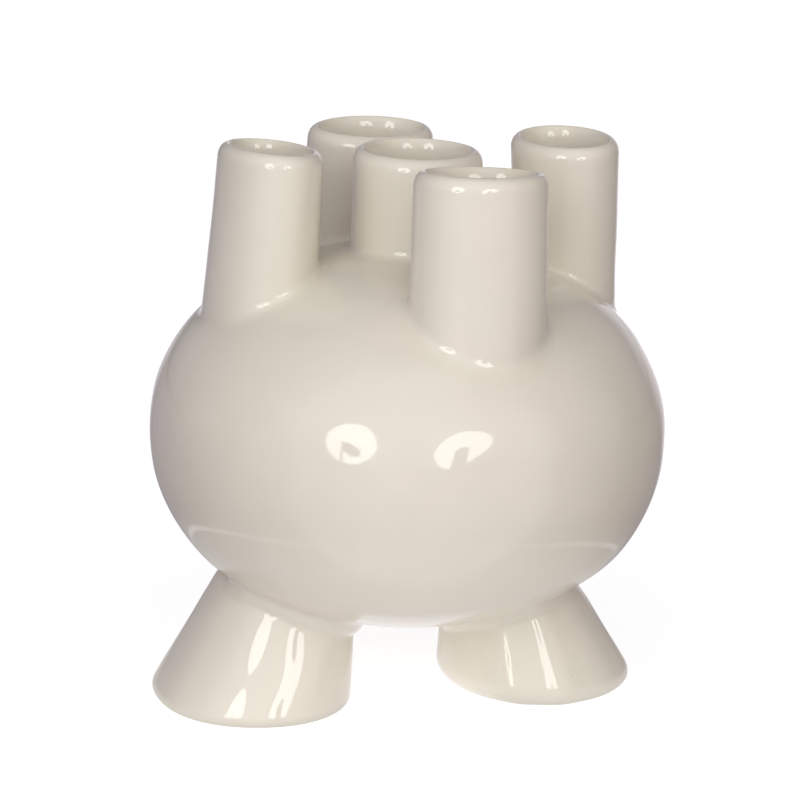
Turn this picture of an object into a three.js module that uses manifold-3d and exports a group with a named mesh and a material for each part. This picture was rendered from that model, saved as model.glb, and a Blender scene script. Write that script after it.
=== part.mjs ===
// Five-spouted tulip vase on two flared feet, glazed earthenware.
//
// Units are millimetres, +Z is up. The origin is on the standing plane, under
// the axis of the round body. +X runs from the left foot to the right foot,
// and -Y is the front, so the four outer spouts stand near +X, -X, +Y and -Y.
//
// The vase is put together from eight clay pieces: one hollow flattened-round
// body, five oval spouts with flared bases that sit over cut holes in its
// shoulder, and two hollow leaning feet that sit over cut holes in its belly.
// Each flared base is luted to the body over a 0.3 mm bed of slip.

import * as THREE from 'three';
import { mergeVertices } from 'three/addons/utils/BufferGeometryUtils.js';
import Module from 'manifold-3d';

const wasm = await Module();
wasm.setup();

// ---------------------------------------------------------------- dimensions

const DEG = Math.PI / 180;

const SLIP_GAP = 0.3;           // bed of slip between a luted piece and the body

// Body: a round shell, flattened above and below its widest circle.
const BODY_RADIUS = 90;         // outside, at the widest circle
const BODY_CENTRE_Z = 95.4;     // height of the widest circle
const CROWN_HEIGHT = 65.0;      // widest circle to crown
const BELLY_DEPTH = 65.4;       // widest circle to lowest point
const CROWN_FULLNESS = 2.22;    // exponent of the curve above the circle
const BELLY_FULLNESS = 2.24;    // exponent of the curve below the circle
const BODY_WALL = 4.6;
const BODY_TILT = [0.0042, -0.0015]; // rise of the whole body per millimetre of x and y

// Spouts. angle is the direction from the body's axis, reach the distance of
// the mouth's centre along it and side the distance across it. mouth is the
// height of the rim, along and across are the outside half widths at the rim.
// leanAlong and leanAcross tip the top outwards and sideways, growth is the
// widening per millimetre towards the base, and slant is the tilt of the rim.
const SPOUT_WALL = 4.1;
const CLUSTER = [1.46, -0.51]; // offset of the five spouts from the body's axis
const SPOUTS = [
  { name: 'spout_front',  angle: -90, reach: 54.8, side: 2.2,  mouth: 195.0, along: 19.0, across: 22.8,
    leanAlong: -1.8, leanAcross: -0.1, growth: 0.008,  slantAlong: 2.4, slantAcross: -1.0 },
  { name: 'spout_back',   angle: 90,  reach: 53.8, side: 0.3,  mouth: 194.5, along: 19.2, across: 23.1,
    leanAlong: -2.8, leanAcross: -0.9, growth: 0.001,  slantAlong: 4.3, slantAcross: 0.7 },
  { name: 'spout_left',   angle: 180, reach: 53.4, side: -0.1, mouth: 196.6, along: 17.5, across: 23.3,
    leanAlong: -2.6, leanAcross: 2.1,  growth: 0.026,  slantAlong: 3.2, slantAcross: 0.4 },
  { name: 'spout_right',  angle: 0,   reach: 53.7, side: 1.2,  mouth: 197.9, along: 18.6, across: 22.0,
    leanAlong: -3.1, leanAcross: -3.0, growth: -0.010, slantAlong: 1.2, slantAcross: 3.0 },
  { name: 'spout_centre', angle: 0,   reach: -0.6, side: 0.8,  mouth: 194.9, along: 22.3, across: 22.4,
    leanAlong: -0.7, leanAcross: -1.7, growth: 0.004,  slantAlong: 0.3, slantAcross: 1.8 },
];
const RIM_ROUND_ACROSS = 3.1;   // rounding of the rim's outer corner, across the wall
const RIM_ROUND_DOWN = 4.9;     // the same, down the wall
const RIM_INNER_ROUND = 0.9;    // rounding of the rim's inner corner
const SPOUT_FLARE_RISE = 6.0;   // height of the flared base up the spout
const SPOUT_FLARE_REACH = 4.2;  // mean spread of the flared base over the body
const SPOUT_FLARE_SWING = 0.3;  // how much wider it is on the side facing the axis
const FLARE_EDGE = 0.6;         // thickness left at the flare's outer edge

// Feet: leaning cones, widest at the standing plane. x and y place the centre
// of the base and angle is the direction the base is thrown out in. baseRadius
// is the outside radius at the base, across its widening square to that
// direction, splay the half angle of the cone and lean the tilt of its axis.
// square is the exponent of its outline, 2 for an ellipse. flare scales the
// fillet at its top.
const FOOT_WALL = 4.6;
const FOOT_FLOOR = 5.0;
const FEET = [
  { name: 'foot_left',  x: -53.8, y: 3.7,  angle: 179.7, baseRadius: 35.1, across: 1.09, splay: 16.6, lean: 14.8, round: 3.6, square: 2.2, flare: 1.0 },
  { name: 'foot_right', x: 51.2,  y: -2.8, angle: -0.3,  baseRadius: 34.5, across: 0.98, splay: 19.9, lean: 15.4, round: 6.0, square: 2.0, flare: 1.3 },
];
const FOOT_FLARE_RISE = 5.5;    // mean height of the fillet down the foot
const FOOT_FLARE_REACH = 4.0;   // mean spread of the fillet over the belly
const FOOT_FLARE_SWING = 0.62;  // how much fuller it is towards the other foot
const FOOT_HOLE_RADIUS = 15;    // hole in the body's belly above each foot

const GLAZE = 0xdfd6c8;

// ---------------------------------------------------------------- the body's curve

// Height above the widest circle of the body's outside, or of the same curve
// moved outwards by off, at the plan position x, y. side is 1 for the crown
// and -1 for the belly.
function bodyHeight(x, y, side, off = 0) {
  const n = side > 0 ? CROWN_FULLNESS : BELLY_FULLNESS;
  const c = (side > 0 ? CROWN_HEIGHT : BELLY_DEPTH) + off;
  const r = Math.min(Math.hypot(x, y) / (BODY_RADIUS + off), 0.99999);
  return side * c * Math.pow(1 - Math.pow(r, n), 1 / n) + BODY_TILT[0] * x + BODY_TILT[1] * y;
}

// Half profile of the body from its lowest point to its crown, before its tilt.
function bodyProfile(off, rows) {
  const points = [];
  for (let i = 0; i <= rows; i++) {
    const t = (i / rows - 0.5) * Math.PI;
    const side = t < 0 ? -1 : 1;
    const n = side > 0 ? CROWN_FULLNESS : BELLY_FULLNESS;
    const c = (side > 0 ? CROWN_HEIGHT : BELLY_DEPTH) + off;
    const r = i === 0 || i === rows ? 0 : (BODY_RADIUS + off) * Math.pow(Math.cos(t), 2 / n);
    points.push(new THREE.Vector2(r, side * c * Math.pow(Math.abs(Math.sin(t)), 2 / n)));
  }
  return points;
}

// ---------------------------------------------------------------- solids

function toManifold(geometry) {
  const g = geometry.clone();
  g.deleteAttribute('normal');
  g.deleteAttribute('uv');
  const merged = mergeVertices(g, 1e-4);
  const index = merged.index.array;
  const tris = [];
  for (let i = 0; i < index.length; i += 3) {
    const [a, b, c] = [index[i], index[i + 1], index[i + 2]];
    if (a !== b && b !== c && c !== a) tris.push(a, b, c);
  }
  return new wasm.Manifold(new wasm.Mesh({
    numProp: 3,
    vertProperties: new Float32Array(merged.attributes.position.array),
    triVerts: new Uint32Array(tris),
  }));
}

function toGeometry(solid) {
  const mesh = solid.getMesh();
  const g = new THREE.BufferGeometry();
  const pos = new Float32Array(mesh.numVert * 3);
  for (let i = 0; i < mesh.numVert; i++) {
    for (let k = 0; k < 3; k++) pos[3 * i + k] = mesh.vertProperties[mesh.numProp * i + k];
  }
  g.setAttribute('position', new THREE.BufferAttribute(pos, 3));
  g.setIndex(new THREE.BufferAttribute(new Uint32Array(mesh.triVerts), 1));
  g.computeVertexNormals();
  return g;
}

// A lathe turned about +Z, with every ring moved to the place that
// shape(row, turn) gives. The rows go round the wall in order.
function shapedLathe(rows, segments, shape) {
  const outline = rows.map((_, i) => new THREE.Vector2(1 + i * 0.01, i));
  const lathe = new THREE.LatheGeometry(outline, segments);
  const pos = lathe.attributes.position;
  for (let i = 0; i <= segments; i++) {
    const turn = ((i % segments) / segments) * 2 * Math.PI;
    for (let j = 0; j < rows.length; j++) {
      const p = shape(rows[j], turn);
      pos.setXYZ(i * rows.length + j, p.x, p.y, p.z);
    }
  }
  pos.needsUpdate = true;
  return lathe;
}

// ---------------------------------------------------------------- spouts

function spoutFrame(s) {
  const a = s.angle * DEG;
  const along = new THREE.Vector3(Math.cos(a), Math.sin(a), 0);
  const across = new THREE.Vector3(-Math.sin(a), Math.cos(a), 0);
  const top = along.clone().multiplyScalar(s.reach).addScaledVector(across, s.side);
  top.x += CLUSTER[0];
  top.y += CLUSTER[1];
  top.z = s.mouth - BODY_CENTRE_Z;
  return { along, across, top };
}

// Point on the spout's wall, inset from its outside, at the distance drop
// below the rim's centre.
function wallPoint(s, f, turn, inset, drop) {
  const grow = s.growth * drop;
  const u = (s.along + grow - inset) * Math.cos(turn);
  const v = (s.across + grow - inset) * Math.sin(turn);
  return f.top.clone()
    .addScaledVector(f.along, u - Math.tan(s.leanAlong * DEG) * drop)
    .addScaledVector(f.across, v - Math.tan(s.leanAcross * DEG) * drop)
    .setZ(f.top.z - drop);
}

// Drop at which the wall meets the body's outside moved outwards by off.
function wallDrop(s, f, turn, inset, off) {
  let lo = 0;
  let hi = 150;
  for (let i = 0; i < 50; i++) {
    const mid = (lo + hi) / 2;
    const p = wallPoint(s, f, turn, inset, mid);
    if (p.z > bodyHeight(p.x, p.y, 1, off)) lo = mid; else hi = mid;
  }
  return lo;
}

function onBody(p, side, off) {
  return new THREE.Vector3(p.x, p.y, bodyHeight(p.x, p.y, side, off));
}

function spoutGeometry(s) {
  const f = spoutFrame(s);
  const rows = [];
  for (const t of [0, 0.25, 0.5, 0.75, 1]) rows.push({ kind: 'flare', t });
  rows.push({ kind: 'wall', inset: 0, rim: RIM_ROUND_DOWN });
  for (const t of [0.33, 0.67, 1]) {
    const q = (t * Math.PI) / 2;
    rows.push({ kind: 'wall', inset: RIM_ROUND_ACROSS * (1 - Math.cos(q)), rim: RIM_ROUND_DOWN * (1 - Math.sin(q)) });
  }
  for (const t of [0.5, 1]) {
    const q = (t * Math.PI) / 2;
    rows.push({ kind: 'wall', inset: SPOUT_WALL - RIM_INNER_ROUND * (1 - Math.sin(q)), rim: RIM_INNER_ROUND * (1 - Math.cos(q)) });
  }
  rows.push({ kind: 'foot', inset: SPOUT_WALL });
  rows.push({ kind: 'under', t: 0.5 });
  rows.push({ kind: 'under', t: 1 });
  rows.push({ kind: 'flare', t: 0 });

  return shapedLathe(rows, 30, (row, turn) => {
    // Outward direction in plan, square to the oval.
    const out = f.along.clone().multiplyScalar(Math.cos(turn) / s.along)
      .addScaledVector(f.across, Math.sin(turn) / s.across).normalize();
    if (row.kind === 'wall') {
      const p = wallPoint(s, f, turn, row.inset, row.rim);
      const flat = p.clone().sub(f.top);
      p.z += flat.dot(f.along) * Math.tan(s.slantAlong * DEG) + flat.dot(f.across) * Math.tan(s.slantAcross * DEG);
      return p;
    }
    const inner = wallPoint(s, f, turn, SPOUT_WALL, wallDrop(s, f, turn, SPOUT_WALL, SLIP_GAP));
    if (row.kind === 'foot') return inner;
    const drop = wallDrop(s, f, turn, 0, SLIP_GAP);
    const reach = SPOUT_FLARE_REACH * (1 - (s.name === 'spout_centre' ? 0 : SPOUT_FLARE_SWING * Math.cos(turn)));
    const edge = wallPoint(s, f, turn, 0, drop).addScaledVector(out, reach);
    if (row.kind === 'under') {
      return onBody(inner.clone().lerp(edge, row.t), 1, SLIP_GAP);
    }
    // Flare: from the edge on the body, tangent to it, up to the wall.
    const high = wallPoint(s, f, turn, 0, drop - SPOUT_FLARE_RISE);
    const low = onBody(edge, 1, SLIP_GAP + FLARE_EDGE);
    const lowIn = onBody(edge.clone().addScaledVector(out, -0.6 * reach), 1, SLIP_GAP + FLARE_EDGE);
    const highIn = wallPoint(s, f, turn, 0, drop - 0.4 * SPOUT_FLARE_RISE);
    return new THREE.CubicBezierCurve3(low, lowIn, highIn, high).getPoint(row.t);
  });
}

// Straight oval cutter that carries the spout's bore through the body's wall.
function spoutCutter(s) {
  const f = spoutFrame(s);
  const rows = [{ drop: 20 }, { drop: 120 }];
  const ring = (row, turn) => wallPoint(s, f, turn, SPOUT_WALL, row.drop);
  return cappedTube(rows, ring, 30);
}

// Closed prism between two rings, built on a cylinder.
function cappedTube(rows, ring, segments) {
  const cyl = new THREE.CylinderGeometry(1, 1, 1, segments, 1, false);
  const pos = cyl.attributes.position;
  const centre = (row) => {
    const c = new THREE.Vector3();
    for (let i = 0; i < segments; i++) c.add(ring(row, (i / segments) * 2 * Math.PI));
    return c.multiplyScalar(1 / segments);
  };
  const centres = rows.map(centre);
  for (let i = 0; i < pos.count; i++) {
    const x = pos.getX(i);
    const z = pos.getZ(i);
    const k = pos.getY(i) > 0 ? 0 : 1;
    if (Math.hypot(x, z) < 0.5) {
      pos.setXYZ(i, centres[k].x, centres[k].y, centres[k].z);
    } else {
      let turn = Math.atan2(-z, x);
      turn = (Math.round((turn / (2 * Math.PI)) * segments * 4) / (segments * 4)) * 2 * Math.PI;
      const p = ring(rows[k], turn);
      pos.setXYZ(i, p.x, p.y, p.z);
    }
  }
  return cyl;
}

// ---------------------------------------------------------------- feet

function footFrame(t) {
  const a = t.angle * DEG;
  const along = new THREE.Vector3(Math.cos(a), Math.sin(a), 0);
  const across = new THREE.Vector3(-Math.sin(a), Math.cos(a), 0);
  const base = new THREE.Vector3(t.x, t.y, -BODY_CENTRE_Z);
  return { along, across, base };
}

// Point of the foot at the plan radius r and the height up above its base.
function footPoint(t, f, turn, r, up) {
  const c = Math.sign(Math.cos(turn)) * Math.pow(Math.abs(Math.cos(turn)), 2 / t.square);
  const s = Math.sign(Math.sin(turn)) * Math.pow(Math.abs(Math.sin(turn)), 2 / t.square);
  return f.base.clone()
    .addScaledVector(f.along, r * c - Math.tan(t.lean * DEG) * up)
    .addScaledVector(f.across, r * t.across * s)
    .setZ(f.base.z + up);
}

// Outside radius of the cone at the height up, clear of the rounded base edge.
function coneRadius(t, up) {
  const k = Math.tan(t.splay * DEG);
  const corner = t.baseRadius - t.round + t.round * Math.cos(t.splay * DEG);
  const cornerUp = t.round + t.round * Math.sin(t.splay * DEG);
  return corner - (up - cornerUp) * k;
}

function coneTop(t, f, turn, inset, off) {
  let lo = 10;
  let hi = 90;
  for (let i = 0; i < 50; i++) {
    const mid = (lo + hi) / 2;
    const p = footPoint(t, f, turn, coneRadius(t, mid) - inset, mid);
    if (p.z < bodyHeight(p.x, p.y, -1, off)) lo = mid; else hi = mid;
  }
  return lo;
}

function footGeometry(t) {
  const f = footFrame(t);
  const rows = [
    { kind: 'disc', r: 0, up: 0 },
    { kind: 'disc', r: t.baseRadius - t.round, up: 0 },
  ];
  for (const q of [0.33, 0.67, 1]) {
    const a = -Math.PI / 2 + q * (Math.PI / 2 + t.splay * DEG);
    rows.push({ kind: 'disc', r: t.baseRadius - t.round + t.round * Math.cos(a), up: t.round + t.round * Math.sin(a) });
  }
  for (const q of [1, 0.75, 0.5, 0.25, 0]) rows.push({ kind: 'flare', t: q });
  rows.push({ kind: 'over', t: 0 });
  rows.push({ kind: 'over', t: 0.5 });
  rows.push({ kind: 'over', t: 1 });
  const innerLow = coneRadius(t, FOOT_FLOOR) - FOOT_WALL;
  rows.push({ kind: 'disc', r: innerLow - 2, up: FOOT_FLOOR + 2 * 1.2 });
  rows.push({ kind: 'disc', r: innerLow - 5, up: FOOT_FLOOR });
  rows.push({ kind: 'disc', r: 0, up: FOOT_FLOOR });

  return shapedLathe(rows, 36, (row, turn) => {
    if (row.kind === 'disc') return footPoint(t, f, turn, row.r, row.up);
    const out = f.along.clone().multiplyScalar(Math.cos(turn))
      .addScaledVector(f.across, Math.sin(turn) / t.across).normalize();
    const top = coneTop(t, f, turn, 0, SLIP_GAP);
    // The fillet is fullest on the side that faces the other foot.
    const full = t.flare * (1 - FOOT_FLARE_SWING * Math.cos(turn));
    const reach = FOOT_FLARE_REACH * full;
    const rise = FOOT_FLARE_RISE * full;
    const edge = footPoint(t, f, turn, coneRadius(t, top), top).addScaledVector(out, reach);
    if (row.kind === 'over') {
      const innerTop = coneTop(t, f, turn, FOOT_WALL, SLIP_GAP);
      const inner = footPoint(t, f, turn, coneRadius(t, innerTop) - FOOT_WALL, innerTop);
      return onBody(edge.clone().lerp(inner, row.t), -1, SLIP_GAP);
    }
    const low = footPoint(t, f, turn, coneRadius(t, top - rise), top - rise);
    const lowIn = footPoint(t, f, turn, coneRadius(t, top - 0.6 * rise), top - 0.6 * rise);
    const high = onBody(edge, -1, SLIP_GAP + FLARE_EDGE);
    const highIn = onBody(edge.clone().addScaledVector(out, -0.45 * reach), -1, SLIP_GAP + FLARE_EDGE);
    return new THREE.CubicBezierCurve3(high, highIn, lowIn, low).getPoint(row.t);
  });
}

function footCutter(t) {
  const f = footFrame(t);
  const ring = (row, turn) => footPoint(t, f, turn, FOOT_HOLE_RADIUS, row.up);
  return cappedTube([{ up: 62 }, { up: 20 }], ring, 28);
}

// ---------------------------------------------------------------- assembly

function glazed(name, geometry) {
  const mesh = new THREE.Mesh(geometry, new THREE.MeshStandardMaterial({
    color: GLAZE, roughness: 0.12, metalness: 0,
  }));
  mesh.name = name;
  mesh.position.z = BODY_CENTRE_Z;
  return mesh;
}

const upright = new THREE.Matrix4().makeRotationX(Math.PI / 2)
  .premultiply(new THREE.Matrix4().set(1, 0, 0, 0, 0, 1, 0, 0, BODY_TILT[0], BODY_TILT[1], 1, 0, 0, 0, 0, 1));
let shell = toManifold(new THREE.LatheGeometry(bodyProfile(0, 24), 54).applyMatrix4(upright));
shell = shell.subtract(toManifold(new THREE.LatheGeometry(bodyProfile(-BODY_WALL, 14), 36).applyMatrix4(upright)));
for (const s of SPOUTS) shell = shell.subtract(toManifold(spoutCutter(s)));
for (const t of FEET) shell = shell.subtract(toManifold(footCutter(t)));

const vase = new THREE.Group();
vase.add(glazed('body_shell', toGeometry(shell)));

const spouts = new THREE.Group();
for (const s of SPOUTS) spouts.add(glazed(s.name, toGeometry(toManifold(spoutGeometry(s)))));
vase.add(spouts);

const feet = new THREE.Group();
for (const t of FEET) feet.add(glazed(t.name, toGeometry(toManifold(footGeometry(t)))));
vase.add(feet);

export default vase;
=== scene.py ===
"""Five-spouted tulip vase: glazed earthenware, modelled round its frame.

Units are metres in the scene. The shape functions below work in millimetres
and are body-centred, like the vase's construction: +X runs from the left foot
to the right foot and -Y is the front.
"""

import math

import bpy
import numpy as np
from mathutils import Matrix, Quaternion, Vector


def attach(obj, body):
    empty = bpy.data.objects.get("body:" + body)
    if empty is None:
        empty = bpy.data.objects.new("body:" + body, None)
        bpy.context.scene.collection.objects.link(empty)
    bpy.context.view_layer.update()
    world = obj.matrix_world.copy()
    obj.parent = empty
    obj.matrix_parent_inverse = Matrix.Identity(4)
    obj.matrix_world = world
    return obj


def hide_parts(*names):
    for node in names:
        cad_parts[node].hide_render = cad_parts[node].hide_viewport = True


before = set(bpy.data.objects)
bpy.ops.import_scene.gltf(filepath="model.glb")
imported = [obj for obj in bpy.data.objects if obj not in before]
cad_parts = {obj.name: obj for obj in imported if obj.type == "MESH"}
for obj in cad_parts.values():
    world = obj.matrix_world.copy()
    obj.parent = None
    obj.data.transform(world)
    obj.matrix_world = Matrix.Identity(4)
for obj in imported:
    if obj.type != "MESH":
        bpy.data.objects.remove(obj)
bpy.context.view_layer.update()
DEG = math.pi / 180
TAU = 2 * math.pi

# ------------------------------------------------------------------ camera
# The viewing angle: 14 degrees above the horizon, 19 degrees left of the front.

PX = 90 / 256.45 / 1000.0
FAR = 3200 * PX
EL, ROLL, PHI = math.radians(13.9146), math.radians(1.8468), math.radians(19.21)
TX, TZ = -7.9568 * PX, 28.9443 * PX
BODY_CENTRE = 0.0954


def turned(v):
    c, s = math.cos(-PHI), math.sin(-PHI)
    return Vector((c * v[0] - s * v[1], s * v[0] + c * v[1], v[2]))


def make_camera():
    eye = Vector((0, -math.cos(EL) * FAR, math.sin(EL) * FAR))
    aim = Vector((TX, 0, TZ))
    f = (aim - eye).normalized()
    r = f.cross(Vector((0, 0, 1))).normalized()
    u = r.cross(f)
    r2 = math.cos(ROLL) * r + math.sin(ROLL) * u
    u2 = -math.sin(ROLL) * r + math.cos(ROLL) * u
    eye = turned(eye) + Vector((0, 0, BODY_CENTRE))
    f, r2, u2 = turned(f), turned(r2), turned(u2)
    data = bpy.data.cameras.new("camera")
    data.sensor_width = 36
    data.lens = 144
    cam = bpy.data.objects.new("camera", data)
    bpy.context.scene.collection.objects.link(cam)
    cam.matrix_world = Matrix(((r2.x, u2.x, -f.x, eye.x),
                               (r2.y, u2.y, -f.y, eye.y),
                               (r2.z, u2.z, -f.z, eye.z),
                               (0, 0, 0, 1)))
    bpy.context.scene.camera = cam
    return cam


make_camera()

# ------------------------------------------------------------------ dimensions (mm)

BODY_R = 90.0
BODY_Z = 95.4
CROWN, BELLY = 65.0, 65.4
CROWN_N, BELLY_N = 2.22, 2.24
BODY_WALL = 4.6
TILT = (0.0042, -0.0015)

SPOUT_WALL = 4.1
CLUSTER = (1.46, -0.51)
SPOUTS = {
    "spout_front": dict(angle=-90, reach=54.8, side=2.2, mouth=195.4, along=19.0, across=22.8,
                        lean=(-1.8, -0.1), growth=0.008, slant=(2.4, -1.0)),
    "spout_back": dict(angle=90, reach=53.8, side=0.3, mouth=194.25, along=19.2, across=23.1,
                       lean=(-2.8, -0.9), growth=0.001, slant=(4.3, -0.4)),
    "spout_left": dict(angle=180, reach=53.4, side=-0.1, mouth=196.3, along=17.3, across=23.3,
                       lean=(-2.75, 2.1), growth=0.030, slant=(3.2, 0.4)),
    "spout_right": dict(angle=0, reach=53.55, side=1.2, mouth=197.6, along=18.5, across=21.8,
                        lean=(-3.1, -3.0), growth=-0.010, slant=(2.4, 3.0)),
    "spout_centre": dict(angle=0, reach=-0.6, side=0.8, mouth=194.5, along=22.5, across=22.4,
                         lean=(-0.7, -1.7), growth=0.004, slant=(0.3, 1.8)),
}
RIM_ACROSS, RIM_DOWN = 3.1, 4.9
LIP_WALL, LIP_DOWN = 5.1, 8.0          # wall just under the mouth, and how deep its inner rounding goes

# Fillet between a spout and the body: rise up the wall and reach over the body
# against the turn round the spout, in degrees (0 faces away from the axis).
SPOUT_FILLET = {
    "spout_front": [(0, 4.2, 4.2), (90, 4.4, 4.2), (180, 4.2, 4.6), (270, 4.4, 4.2)],
    "spout_back": [(0, 4.0, 4.0), (90, 4.0, 4.0), (180, 4.0, 4.2), (270, 4.0, 4.0)],
    "spout_left": [(0, 3.0, 2.6), (60, 4.2, 4.4), (120, 4.4, 4.8), (180, 4.2, 4.6), (290, 4.2, 4.2)],
    "spout_right": [(340, 4.6, 3.8), (20, 4.6, 3.8), (90, 4.0, 4.0), (180, 4.2, 4.6), (270, 4.2, 4.0)],
    "spout_centre": [(0, 3.8, 3.8), (90, 3.8, 3.8), (180, 3.8, 3.8), (270, 3.8, 3.8)],
}

FOOT_WALL, FOOT_FLOOR, FOOT_HOLE = 4.6, 5.0, 15.0
FEET = {
    "foot_left": dict(x=-53.8, y=3.7, angle=179.7, base=35.1, across=1.09, splay=16.6, lean=14.8, round=3.6, square=2.2),
    "foot_right": dict(x=51.2, y=-2.8, angle=-0.3, base=34.5, across=0.98, splay=19.9, lean=15.4, round=6.0, square=2.0),
}
# Hand-formed departures of each foot from a plain leaning cone, against the turn
# round it: outwards at its base, outwards at its crease, and the depth of the
# slow swell and hollow between them.
FOOT_SHAPE = {
    "foot_left": [(-19, -0.1, -0.2, 0.15), (20, -0.3, 0.0, 0.25), (48, -0.4, 0.5, 0.32), (71, -0.4, 1.2, 0.30), (92, 0.0, 2.0, 0.20),
                  (115, -0.6, 2.5, 0.15), (138, -1.2, 1.8, 0.12), (161, -2.3, 0.1, 0.10), (200, -1.0, 0.0, 0.10), (270, 0.0, 0.0, 0.15)],
    "foot_right": [(-19, 0.1, 0.4, 0.10), (60, 0.0, 0.0, 0.15), (120, 0.0, 0.3, 0.15), (161, -0.9, 1.5, 0.10), (200, -0.8, 0.6, 0.10),
                   (225, -0.5, 0.0, 0.10), (240, 0.3, 0.8, 0.10), (252, -0.1, 0.4, 0.10), (265, 0.2, 1.0, 0.10), (288, -1.0, 0.1, 0.10),
                   (315, -0.9, 0.2, 0.12)],
}
for _name in FEET:
    FEET[_name]["shape"] = FOOT_SHAPE[_name]
# Collar of clay between a foot and the belly, against the turn round the foot:
# drop of its lower crease below the bare joint, its swell out of the foot's
# wall, how far it spreads over the belly, and how softly it is smoothed. Below
# 0, the foot's lip stands proud and the clay steps back inwards above it.
COLLAR = {
    "foot_left": [(-19, 1.5, -1.7, -2.1, 0.26), (2, 2.0, -0.6, -0.8, 0.35), (20, 4.4, 0.9, 1.6, 0.7), (35, 3.9, 1.4, 3.2, 0.9),
                  (53, 3.2, 1.7, 4.6, 1.0), (75, 3.8, 2.0, 5.4, 1.0), (95, 4.8, 2.2, 6.0, 1.0), (114, 5.2, 2.4, 6.4, 1.0),
                  (150, 5.2, 3.4, 5.4, 0.5), (180, 5.6, 3.4, 5.2, 0.5), (207, 6.2, 2.8, 5.4, 0.8), (246, 5.0, 2.4, 5.8, 1.0),
                  (285, 3.6, 1.6, 4.0, 1.0), (320, 2.0, 0.2, 0.6, 0.6)],
    "foot_right": [(-19, 1.9, -1.6, -2.0, 0.30), (4, 1.8, -1.2, -1.6, 0.35), (30, 2.4, 0.8, 1.6, 0.7), (72, 4.5, 1.8, 4.6, 1.0),
                   (110, 5.4, 2.4, 5.8, 1.0), (149, 6.6, 2.8, 5.6, 0.9), (180, 9.0, 3.0, 5.4, 0.9), (211, 6.9, 2.6, 5.8, 0.9),
                   (236, 5.8, 2.2, 6.0, 1.0), (262, 4.8, 2.0, 5.6, 1.0), (288, 5.6, 1.8, 4.4, 1.0), (316, 5.6, 1.0, 2.0, 0.8)],
}

# ------------------------------------------------------------------ curves of the body


def body_height(x, y, side, off=0.0):
    n = CROWN_N if side > 0 else BELLY_N
    c = (CROWN if side > 0 else BELLY) + off
    r = np.minimum(np.hypot(x, y) / (BODY_R + off), 0.99999)
    return side * c * (1 - r ** n) ** (1 / n) + TILT[0] * x + TILT[1] * y


def body_slope(x, y, side, dx, dy):
    """Rise of the body's outside per millimetre along the plan direction dx, dy."""
    e = 0.02
    return (body_height(x + e * dx, y + e * dy, side) - body_height(x - e * dx, y - e * dy, side)) / (2 * e)


def around(table, turn, column):
    """Smooth periodic curve through a table that starts with degrees of turn."""
    pts = sorted((p[0] % 360, p[column]) for p in table)
    xs = np.array([p[0] for p in pts], float)
    ys = np.array([p[1] for p in pts], float)
    xs = np.concatenate([xs[-2:] - 360, xs, xs[:2] + 360])
    ys = np.concatenate([ys[-2:], ys, ys[:2]])
    m = np.zeros_like(ys)
    d = np.diff(ys) / np.diff(xs)
    for i in range(1, len(ys) - 1):
        if d[i - 1] * d[i] > 0:
            m[i] = 2 * d[i - 1] * d[i] / (d[i - 1] + d[i])
    t = np.degrees(turn) % 360
    k = np.clip(np.searchsorted(xs, t, side="right") - 1, 0, len(xs) - 2)
    h = xs[k + 1] - xs[k]
    s = (t - xs[k]) / h
    return ((2 * s ** 3 - 3 * s ** 2 + 1) * ys[k] + (s ** 3 - 2 * s ** 2 + s) * h * m[k]
            + (3 * s ** 2 - 2 * s ** 3) * ys[k + 1] + (s ** 3 - s ** 2) * h * m[k + 1])


def bezier(p0, p1, p2, p3, t):
    return (1 - t) ** 3 * p0 + 3 * (1 - t) ** 2 * t * p1 + 3 * (1 - t) * t * t * p2 + t ** 3 * p3


def body_profile(off, rows):
    """Half profile from the lowest point to the crown, evenly spaced along its length."""
    t = np.linspace(-math.pi / 2, math.pi / 2, 20001)
    n = np.where(t < 0, BELLY_N, CROWN_N)
    c = np.where(t < 0, BELLY, CROWN) + off
    r = (BODY_R + off) * np.maximum(np.cos(t), 0) ** (2 / n)
    z = np.sign(t) * c * np.abs(np.sin(t)) ** (2 / n)
    s = np.concatenate([[0], np.cumsum(np.hypot(np.diff(r), np.diff(z)))])
    want = np.linspace(0, s[-1], rows)
    return np.interp(want, s, r), np.interp(want, s, z)


# ------------------------------------------------------------------ mesh making


# Unevenness of the thrown body: height and how far it stands out, in mm, at its
# left and at its right side.
SIDE_SHAPE = {
    (-0.945, 0.326): [(0, 0), (42, 0.3), (46, 0.6), (53, -0.1), (64, -0.75), (71, -0.55), (80, -0.3), (90, 0.1), (100, 0.15), (112, 0.1), (124, -0.3), (136, 0), (200, 0)],
    (0.945, -0.326): [(0, 0), (36, 0), (41, -2.0), (46, -1.0), (53, 0.65), (59, 0.6), (68, -0.35), (76, -0.4), (88, 0.0), (104, 0.3), (112, 0.0), (121, -0.8), (128, -0.7), (138, 0), (200, 0)],
}


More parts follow.
